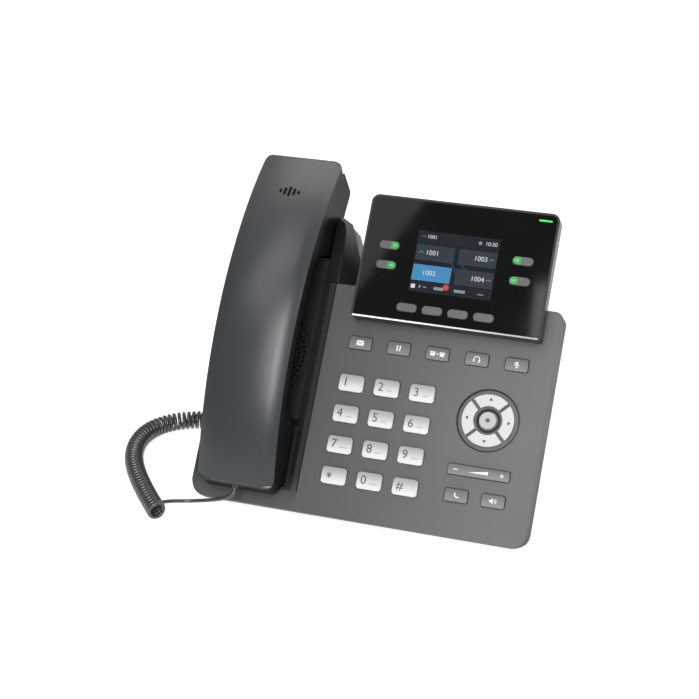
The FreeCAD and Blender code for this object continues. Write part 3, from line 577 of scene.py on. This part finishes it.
def icon_hold(x, y):
    return [rect(x - 1.25, x - 0.5, y - 1.75, y + 1.75), rect(x + 0.5, x + 1.25, y - 1.75, y + 1.75)], []


def icon_transfer(x, y):
    """Two telephones with an arrow between them."""
    shapes = []
    for side in (-1, 1):
        cx = x + side * 2.9
        shapes += [round_rect(cx, y - 0.65, 2.8, 1.7, 0.3), bar(cx - 1.7, y + 0.8, cx + 1.7, y + 0.8, 0.6),
                   rect(cx - 1.7, cx - 1.0, y + 0.25, y + 0.9), rect(cx + 1.0, cx + 1.7, y + 0.25, y + 0.9)]
    arrow = [(x - 0.7, y - 0.45), (x + 0.05, y - 0.45), (x + 0.05, y - 0.85), (x + 0.8, y - 0.2),
             (x + 0.05, y + 0.45), (x + 0.05, y + 0.05), (x - 0.7, y + 0.05)]
    return shapes + [arrow], []


def icon_headset(x, y):
    return [arc_band(x, y - 0.1, 1.75, 0.5, -5, 185), round_rect(x - 1.7, y - 0.85, 0.95, 1.7, 0.4),
            round_rect(x + 1.7, y - 0.85, 0.95, 1.7, 0.4), bar(x + 1.6, y - 1.6, x + 0.5, y - 2.05, 0.36)], []


def icon_mute(x, y):
    """Microphone struck through."""
    return [round_rect(x + 0.15, y + 0.7, 1.2, 2.3, 0.58), arc_band(x + 0.15, y + 0.45, 1.2, 0.34, 190, 350),
            bar(x + 0.15, y - 0.75, x + 0.15, y - 1.7, 0.36), bar(x - 0.7, y - 1.8, x + 1.0, y - 1.8, 0.36),
            bar(x - 1.7, y + 1.2, x + 1.7, y - 0.9, 0.36)], []


def icon_send(x, y):
    return [moved(handset_icon(2.1, 135), x + 0.1, y - 0.1)], []


def icon_speaker(x, y):
    horn = [(x - 2.1, y - 0.6), (x - 1.2, y - 0.6), (x + 0.1, y - 1.7),
            (x + 0.1, y + 1.7), (x - 1.2, y + 0.6), (x - 2.1, y + 0.6)]
    waves = [arc_band(x + 0.1, y, r, 0.36, -42, 42, 8) for r in (1.0, 1.9)]
    return [horn] + waves, []


def icon_volume(x, y):
    minus = bar(x - 15.2, y, x - 12.6, y, 0.45)
    plus = [bar(x + 12.7, y, x + 15.1, y, 0.5), bar(x + 13.9, y - 1.2, x + 13.9, y + 1.2, 0.5)]
    wedge = [(x - 6.4, y - 0.75), (x + 5.6, y - 0.75), (x + 5.6, y + 1.15)]
    return [minus, wedge] + plus, []


ICONS = {"key_message": icon_message, "key_hold": icon_hold, "key_transfer": icon_transfer,
         "key_headset": icon_headset, "key_mute": icon_mute, "key_send": icon_send,
         "key_speaker": icon_speaker, "volume_key": icon_volume}


def key_icons():
    """White sign of each function key, with a faint painted glow; a draw function gives its light and its
    dark outlines.
    """
    for node, draw in ICONS.items():
        x, y, z = key_top(node)
        light, dark = draw(x, y)
        film("icon_" + node, light, z, "ink_white_painted_glow", node)
        if dark:
            film("icon_line_" + node, dark, z + PRINT, "ink_dark", node)


ARROW = ((-1.2, -0.7), (1.2, -0.7), (0, 1.1))
ARROW_R = 12.6                         # from the centre of the direction keys to an arrow


def direction_marks():
    cx, cy, top = key_top("key_ok")
    film("mark_ok", [disc(cx, cy, 1.25)], top, "ink_dark", "key_ok")
    for node, turn in (("key_up", 0), ("key_left", 90), ("key_down", 180), ("key_right", 270)):
        a = math.radians(turn + 90)
        arrow = moved(ARROW, cx + ARROW_R * math.cos(a), cy + ARROW_R * math.sin(a), 1.0, turn)
        film("mark_" + node, [arrow], key_top(node)[2], "ink_dark", node)


dial_marks()
key_icons()
direction_marks()


# ---- display ----------------------------------------------------------------------------------
SCREEN = (11.07, 61.2, 140.0, 177.6)    # lit area: x range, y range
LAYER = 0.03                            # thickness of one layer of the screen's picture
WORDS_LEVEL = 3                         # layers under the screen's text
SCREEN_COLOURS = {
    "screen_ground": (22, 27, 34),
    "screen_bar": (30, 33, 40),
    "screen_tile": (52, 57, 67),
    "screen_blue": (70, 140, 190),
    "screen_white": (214, 218, 222),
    "screen_grey": (140, 146, 154),
    "screen_green": (48, 168, 72),
    "screen_red": (214, 76, 70),
    "screen_line": (38, 84, 120),
}
SCREEN_WORDS = (                        # piece, words, start of the line, its middle height, size
    ("screen_number_1", "1001", 17.4, 164.4, 4.2),
    ("screen_number_2", "1002", 17.4, 151.9, 4.2),
    ("screen_number_3", "1003", 47.2, 164.4, 4.2),
    ("screen_number_4", "1004", 47.2, 151.9, 4.2),
    ("screen_account", "1001", 16.6, 174.2, 3.2),
    ("screen_clock", "10:30", 52.4, 174.0, 3.4),
)


def screen_colour(name, colour):
    """Lit colour under the glossy window."""
    s = Surface(name)
    s.colour(s.mix(0.5, (0.0, 0.0, 0.0, 1), (0.01, 0.01, 0.01, 1)))
    s.glow(s.mix(s.noise(120, 2.0), scaled(srgb(*colour), 0.9), scaled(srgb(*colour), 1.08)), 1.0)
    s.set(Roughness=0.05, Specular_IOR_Level=0.14)
    return s


def screen_text(name, words, x, y, size):
    mesh = text_mesh(name, words, x, y, DISPLAY_TOP + LAYER * WORDS_LEVEL, size)
    to_object(name, mesh, "screen_white", "base")


def screen_film(name, outlines, material, level):
    to_object(name, film_mesh(name, outlines, DISPLAY_TOP + LAYER * level, LAYER), material, "base")


def phone_mark(x, y, size=1.5):
    return moved(handset_icon(size), x, y)


def screen():
    """Home page: status bar, four line tiles and the names of the soft keys as plain bars."""
    x0, x1, y0, y1 = SCREEN
    screen_film("screen_ground", [rect(x0, x1, y0, y1)], "screen_ground", 0.4)
    screen_film("screen_bar", [rect(x0, x1, y0, y0 + 6.4), rect(x0, x1, y1 - 7.2, y1)], "screen_bar", 1.4)
    left, right = (x0 + 0.4, 35.0), (37.8, x1 - 0.3)
    rows = ((159.6, 169.2), (147.0, 156.8))
    screen_film("screen_lines", [bar(33.0, 161.5, 41.0, 149.0, 0.5), bar(38.5, 162.5, 46.5, 152.0, 0.5)],
                "screen_line", 1.4)
    screen_film("screen_tiles", [rect(*left, *rows[0]), rect(*right, *rows[0]), rect(*right, *rows[1])],
                "screen_tile", 2.4)
    screen_film("screen_selected", [rect(*left, *rows[1])], "screen_blue", 2.4)
    marks = [phone_mark(14.6, 164.4), phone_mark(14.6, 151.9),
             phone_mark(58.0, 164.4), phone_mark(58.0, 151.9), phone_mark(14.6, 174.2, 1.1)]
    screen_film("screen_phones", marks, "screen_green", 3.4)
    for line in SCREEN_WORDS:
        screen_text(*line)
    screen_film("screen_status", [disc(49.4, 174.0, 1.1)], "screen_grey", 3.4)
    screen_film("screen_home", [round_rect(13.4, 143.2, 2.6, 2.6, 0.5)], "screen_white", 3.4)
    bars = [rect(17.0, 18.0, 142.4, 144.2), rect(19.6, 21.6, 142.9, 143.6), rect(26.2, 32.0, 142.3, 144.1),
            rect(38.6, 45.4, 142.3, 144.1), rect(53.0, 56.6, 142.6, 143.2)]
    screen_film("screen_bars", bars, "screen_grey", 3.4)
    screen_film("screen_badge", [disc(33.4, 144.6, 1.8)], "screen_red", 3.4)


LIGHT_START, LIGHT_CENTRE, LIGHT_R = 1.2, 3.85, 2.05   # lit half of a line key, from the key's centre


def key_lights():
    """The half of each line key nearer the screen glows."""
    half_turn = [math.radians(90 - 180 * k / 12) for k in range(13)]
    for side, inward in (("left", 1), ("right", -1)):
        for i in (1, 2):
            node = "line_key_%s_%d" % (side, i)
            x, y, z = key_top(node)
            outline = [(x + inward * LIGHT_START, y - LIGHT_R), (x + inward * LIGHT_START, y + LIGHT_R)]
            outline += [(x + inward * (LIGHT_CENTRE + LIGHT_R * math.cos(a)), y + LIGHT_R * math.sin(a))
                        for a in half_turn]
            film("light_" + node, [outline], z, "lit_green", node)
            film("light_mark_" + node, [bar(x + inward * 2.6, y, x + inward * 4.6, y, 0.7)], z + PRINT,
                 "led_green", node)


def light_bar():
    outline = round_rect(85.9, 192.2, 8.0, 1.0, 0.5)
    film("light_bar", [outline], DISPLAY_TOP, "led_green", "base", thickness=0.12)


def display_trim():
    """Strip along the lower edge of the display window, its brightness a painted highlight."""
    low, high = face_box("display_bezel")
    strip = rect(low.x + 1.2, high.x - 1.2, low.y + 0.15, low.y + 1.05)
    film("display_trim", [strip], high.z, "trim_silver_painted_highlight", "base", 0.1)


MATERIALS.update({name: screen_colour(name, colour) for name, colour in SCREEN_COLOURS.items()})
screen()
key_lights()
light_bar()
display_trim()


# ---- handset ------------------------------------------------------------------------------------
EAR_Y, MOUTH_Y = 215.6, 8.6            # ends of the handset's back
SEAM_Y = (7.4, 211.2)                  # ends of its seam
EAR_HALF, MOUTH_HALF = 25.3, 24.1
CROWN_R = 120.0                        # the back is domed across as well as bowed along
MOUTH_BEVEL, EAR_BEVEL = 5.2, 3.7      # width of the bevel along the sides
END_BEVEL = 0.9                        # and at both ends
BEVEL_DROP = 3.9                       # where the bevel meets the side, below the bow
END_DROP = 0.9                         # where it meets the ends
SEAM = 12.0
SKIN = 2.0
CORNER_R, BACK_CORNER_R = 5.0, 1.4
COLUMNS, ROWS, TURNS = 10, 44, 8       # steps along an end, a side and a corner of every ring
MARK_Y, MARK_PITCH, MARK_WIDTH = 189.4, 2.9, 1.7
MARK_HEIGHTS = (2.6, 5.0, 7.2, 5.0, 2.6)


def bow(y, drop=0.0):
    """Height of the bowed back on its centre line."""
    return HANDSET_ARC[1] + math.sqrt((HANDSET_R - drop) ** 2 - (y - HANDSET_ARC[0]) ** 2)


def domed(x, y, drop=0.0):
    """Height of the back at x from its centre line."""
    return bow(y, drop) - x * x / (2 * CROWN_R)


def half_width(y):
    return MOUTH_HALF + (EAR_HALF - MOUTH_HALF) * (y - MOUTH_Y) / (EAR_Y - MOUTH_Y)


def bevel_width(y):
    return MOUTH_BEVEL - (MOUTH_BEVEL - EAR_BEVEL) * (y - MOUTH_Y) / (EAR_Y - MOUTH_Y)


def ring(inset, low, high, radius):
    """Closed outline round the handset: (x, y, share of side) points, the same count for every ring."""
    def width(y):
        return half_width(y) - inset(y)
    end_low, end_high = width(low) - radius, width(high) - radius
    points = [(-end_low + 2 * end_low * i / COLUMNS, low, 0.0) for i in range(COLUMNS)]
    for i in range(TURNS):
        a = math.pi / 2 * i / TURNS
        y = low + radius - radius * math.cos(a)
        points.append((width(y) - radius + radius * math.sin(a), y, math.sin(a) ** 2))
    for i in range(ROWS):
        y = low + radius + (high - low - 2 * radius) * i / ROWS
        points.append((width(y), y, 1.0))
    for i in range(TURNS):
        a = math.pi / 2 * i / TURNS
        y = high - radius + radius * math.sin(a)
        points.append((width(y) - radius + radius * math.cos(a), y, math.cos(a) ** 2))
    half = points[COLUMNS:]
    points += [(end_high - 2 * end_high * i / COLUMNS, high, 0.0) for i in range(COLUMNS)]
    points += [(-x, y, side) for x, y, side in [(end_high, high, 0.0)] + half[:0:-1]]
    return points


def shell_rings(skin):
    """Rings of the outer shell from its back to the seam; skin moves them inwards."""
    back = [(x, y, domed(x, y, skin)) for x, y, side in
            ring(lambda y: bevel_width(y) + skin / 2, MOUTH_Y + END_BEVEL + skin, EAR_Y - END_BEVEL - skin,
                 BACK_CORNER_R)]
    edge = [(x, y, bow(y) - skin - END_DROP - (BEVEL_DROP - END_DROP) * side) for x, y, side in
            ring(lambda y: skin, MOUTH_Y + skin, EAR_Y - skin, CORNER_R - skin)]
    seam = [(x, y, bow(y, SEAM)) for x, y, side in
            ring(lambda y: skin, SEAM_Y[0] + skin, SEAM_Y[1] - skin, CORNER_R - skin)]
    return back, edge, seam


def back_row(bm, left, right, skin):
    """Row of vertices across the domed back, between two vertices of its ring."""
    row = [left]
    for i in range(1, COLUMNS):
        place = (left.co.lerp(right.co, i / COLUMNS) - FACE_ORIGIN) / MM
        x, y = place.dot(RIGHT), place.dot(UP)
        row.append(bm.verts.new(at(x, y, domed(x - CRADLE_X, y, skin))))
    return row + [right]


def close_back(bm, back, skin):
    """Domed sheet inside the first ring, in rows from side to side."""
    side = ROWS + 2 * TURNS
    right = back[COLUMNS:COLUMNS + side + 1]
    left = (back[2 * COLUMNS + side:] + back[:1])[::-1]
    rows = [back[:COLUMNS + 1]]
    rows += [back_row(bm, left[k], right[k], skin) for k in range(1, side)]
    rows.append(back[COLUMNS + side:2 * COLUMNS + side + 1][::-1])
    for lower, upper in zip(rows, rows[1:]):
        for i in range(COLUMNS):
            bm.faces.new((lower[i], lower[i + 1], upper[i + 1], upper[i]))


def smooth_but_sharp(bm, angle):
    """Smooth faces, with the edges that turn by more than an angle in degrees left sharp."""
    for face in bm.faces:
        face.smooth = True
    for edge in bm.edges:
        if len(edge.link_faces) == 2 and edge.calc_face_angle() > math.radians(angle):
            edge.smooth = False


def handset_shell():
    """Outer half of the handset with its domed back, bevelled sides and open seam."""
    bm = bmesh.new()
    seams = []
    for skin in (0.0, SKIN):
        back, edge, seam = [[bm.verts.new(at(CRADLE_X + x, y, z)) for x, y, z in level]
                            for level in shell_rings(skin)]
        close_back(bm, back, skin)
        bridge(bm, back, edge)
        bridge(bm, edge, seam, 1)
        seams.append(seam)
    bridge(bm, *seams)
    bmesh.ops.recalc_face_normals(bm, faces=bm.faces)
    smooth_but_sharp(bm, 18)
    mesh = to_mesh("handset_back", bm)
    shell = to_object("handset_back", mesh, "handset_shell", "handset")
    shell.data.materials.append(MATERIALS["handset_inner"].material)
    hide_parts("handset_outer_shell")
    bevel = shell.modifiers.new("soft edges", "BEVEL")
    bevel.width = 0.5 * MM
    bevel.segments = 2
    bevel.limit_method = "ANGLE"
    bevel.angle_limit = math.radians(22)


def handset_mark():
    """Five upright bars, like a sound level, on the back of the ear end."""
    bm = bmesh.new()
    for i, height in enumerate(MARK_HEIGHTS):
        outline = round_rect((i - 2) * MARK_PITCH, MARK_Y, MARK_WIDTH, height, 0.7, 5)
        low, high = [[bm.verts.new(at(CRADLE_X + x, y, domed(x, y) + level)) for x, y in outline]
                     for level in (0.03, 0.12)]
        prism(bm, low, high)
    bmesh.ops.recalc_face_normals(bm, faces=bm.faces)
    to_object("handset_mark", to_mesh("handset_mark", bm), "ink_black", "handset")


handset_shell()
handset_mark()


# ---- cord ---------------------------------------------------------------------------------------
# routes in the shared frame, in millimetres
COIL_ROUTE = ((-114.5, -90.5, 6.0), (-124.0, -79.5, 6.0), (-136.0, -64.4, 6.0), (-147.0, -49.0, 6.0),
              (-155.6, -33.5, 6.0), (-160.6, -16.5, 6.0), (-160.2, 0.5, 6.0), (-152.6, 14.5, 6.0),
              (-139.0, 23.6, 6.0), (-122.5, 27.6, 6.0), (-105.5, 28.6, 6.0))
LEAD_ROUTE = ((-71.0, -72.93, 19.89), (-71.0, -74.8, 17.42), (-73.4, -76.4, 15.5), (-78.0, -77.4, 13.8),
              (-85.0, -77.0, 11.4), (-93.2, -76.0, 8.9), (-101.2, -76.8, 7.7), (-107.5, -80.8, 8.8),
              (-111.9, -86.2, 10.5), (-115.3, -89.6, 10.85))
TAIL_ROUTE = ((-105.5, 28.6, 6.0), (-95.0, 28.9, 5.0), (-85.0, 26.0, 6.5), (-78.0, 18.0, 14.0),
              (-74.5, 8.0, 24.0), (-71.5, -2.5, 34.5), (-66.5, -10.5, 43.0), (-57.6, -13.0, 46.2))
CORD_D = 2.3
COIL_MEAN = 4.85                       # from the coil's axis to the middle of the cord
COIL_PITCH = 3.2
STEPS_PER_TURN = 20
CLOSING_TURNS = 2                      # turns that draw in to the axis at the far end


def smooth_curve(name, points, radius):
    """Curve with one smooth open spline drawn by its points, in metres; the radius may be 0."""
    curve = bpy.data.curves.new(name, "CURVE")
    curve.dimensions = "3D"
    curve.resolution_u = 12
    curve.bevel_depth = radius
    curve.bevel_resolution = 5
    curve.use_fill_caps = True
    spline = curve.splines.new("NURBS")
    spline.points.add(len(points) - 1)
    for target, point in zip(spline.points, points):
        target.co = (*point, 1)
    spline.order_u = 3
    spline.use_endpoint_u = True
    return curve


def centreline(route):
    """Points read from a route's smooth spline."""
    mesh = mesh_of_curve(smooth_curve("route", [Vector(p) * MM for p in route], 0))
    points = [v.co.copy() for v in mesh.vertices]
    bpy.data.meshes.remove(mesh)
    return points


def evenly(points, step):
    """Points a fixed step apart along a line of points."""
    result, carried = [points[0]], 0.0
    for a, b in zip(points, points[1:]):
        length = (b - a).length
        distance = step - carried
        while distance <= length:
            result.append(a.lerp(b, distance / length))
            distance += step
        carried = length - (distance - step)
    return result


def helix(line):
    """Turns of the curly cord round its axis, drawn in to the axis at the far end."""
    axis = evenly(line, COIL_PITCH * MM / STEPS_PER_TURN)
    last = len(axis) - 1
    points = []
    for i, centre in enumerate(axis):
        ahead = axis[min(i + 1, last)] - axis[max(i - 1, 0)]
        ahead.normalize()
        side = ahead.cross(Vector((0, 0, 1))).normalized()
        share = min(1.0, (last - i) / (CLOSING_TURNS * STEPS_PER_TURN))
        radius = COIL_MEAN * MM * math.sin(share * math.pi / 2)
        angle = math.radians(90) + 2 * math.pi * i / STEPS_PER_TURN
        points.append(centre + side * (radius * math.cos(angle)) + Vector((0, 0, radius * math.sin(angle))))
    return points


def tube_object(name, points):
    """Cord as a mesh tube that follows its points."""
    curve = smooth_curve(name, points, CORD_D / 2 * MM)
    curve.resolution_u = 3
    mesh = mesh_of_curve(curve)
    mesh.materials.append(MATERIALS["cord"].material)
    for polygon in mesh.polygons:
        polygon.use_smooth = True
    piece = bpy.data.objects.new(name, mesh)
    link(piece)
    return piece


def curly_cord():
    turns = helix(centreline(COIL_ROUTE))
    coil = tube_object("curly_cord", turns)
    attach(coil, "base")
    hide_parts("cord_coil")


def cord_end(name, route, node, body=None):
    """Smooth end of the cord; without a body of its own its mesh is baked into the shared frame, running from
    the base to the handset.
    """
    line = centreline(route)
    piece = tube_object(name, line)
    if body:
        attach(piece, body)
    else:
        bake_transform(piece)
    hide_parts(node)


curly_cord()
cord_end("cord_lead_smooth", LEAD_ROUTE, "cord_lead")
cord_end("cord_tail_smooth", TAIL_ROUTE, "cord_tail", "base")


# ---- stage, light and camera ----------------------------------------------------------------------
FLOOR_GREYS = (0.48, 0.48, 0.48, 1), (0.5, 0.5, 0.5, 1)
FLOOR_GLOW = 1.7
WORLD_STRENGTH = 0.4
HANDSET_TARGET, MIDDLE_TARGET = (-0.07, 0.0, 0.12), (0.0, 0.0, 0.08)
LIGHTS = (                             # name, target, (azimuth, elevation, distance), size, watts
    ("front strip", HANDSET_TARGET, (7, 35, 2.0), (0.78, 1.2), 27),
    ("top", HANDSET_TARGET, (180, 70, 1.6), (1.4, 0.7), 7),
    ("right", MIDDLE_TARGET, (62, 40, 1.6), (0.8, 0.8), 4),
    ("window", MIDDLE_TARGET, (-37, 62, 1.7), (0.5, 0.9), 4),
)
CAMERA_PLACE = (0.2728, -0.9132, 0.5499)
CAMERA_DOWN, CAMERA_TURN = 25.83, 17.94    # degrees below the level, and to the left of straight ahead
CAMERA_LENS, CAMERA_SENSOR = 90.4, 36


def floor():
    bm = bmesh.new()
    bmesh.ops.create_grid(bm, x_segments=4, y_segments=4, size=6.0)
    ground = bpy.data.objects.new("floor", to_mesh("floor", bm))
    link(ground)
    s = Surface("floor")
    tint = s.mix(s.noise(3.0), *FLOOR_GREYS)
    s.colour(tint)
    s.glow(tint, FLOOR_GLOW)
    s.set(Roughness=0.9, Specular_IOR_Level=0.0)
    ground.data.materials.append(s.material)


def area_light(name, place, target, size, energy):
    data = bpy.data.lights.new(name, "AREA")
    data.shape = "RECTANGLE"
    data.size, data.size_y = size
    data.energy = energy
    light = bpy.data.objects.new(name, data)
    light.location = place
    light.rotation_euler = (Vector(target) - Vector(place)).to_track_quat("-Z", "Y").to_euler()
    link(light)


def toward(target, azimuth, elevation, distance):
    """Place seen from a target: azimuth in degrees from the front, to the right, and elevation."""
    a, e = math.radians(azimuth), math.radians(elevation)
    way = Vector((math.sin(a) * math.cos(e), -math.cos(a) * math.cos(e), math.sin(e)))
    return Vector(target) + way * distance


def lights():
    world = bpy.data.worlds.new("studio")
    world.use_nodes = True
    background = world.node_tree.nodes["Background"].inputs
    background["Color"].default_value = (1, 1, 1, 1)
    background["Strength"].default_value = WORLD_STRENGTH
    bpy.context.scene.world = world
    for name, target, direction, size, energy in LIGHTS:
        area_light(name, toward(target, *direction), target, size, energy)


def camera():
    data = bpy.data.cameras.new("camera")
    data.lens = CAMERA_LENS
    data.sensor_width = CAMERA_SENSOR
    data.clip_start, data.clip_end = 0.01, 50
    eye = bpy.data.objects.new("camera", data)
    eye.location = CAMERA_PLACE
    eye.rotation_euler = (math.radians(90 - CAMERA_DOWN), 0, math.radians(CAMERA_TURN))
    link(eye)
    bpy.context.scene.camera = eye


floor()
lights()
camera()
bpy.context.scene.view_settings.view_transform = "Standard"
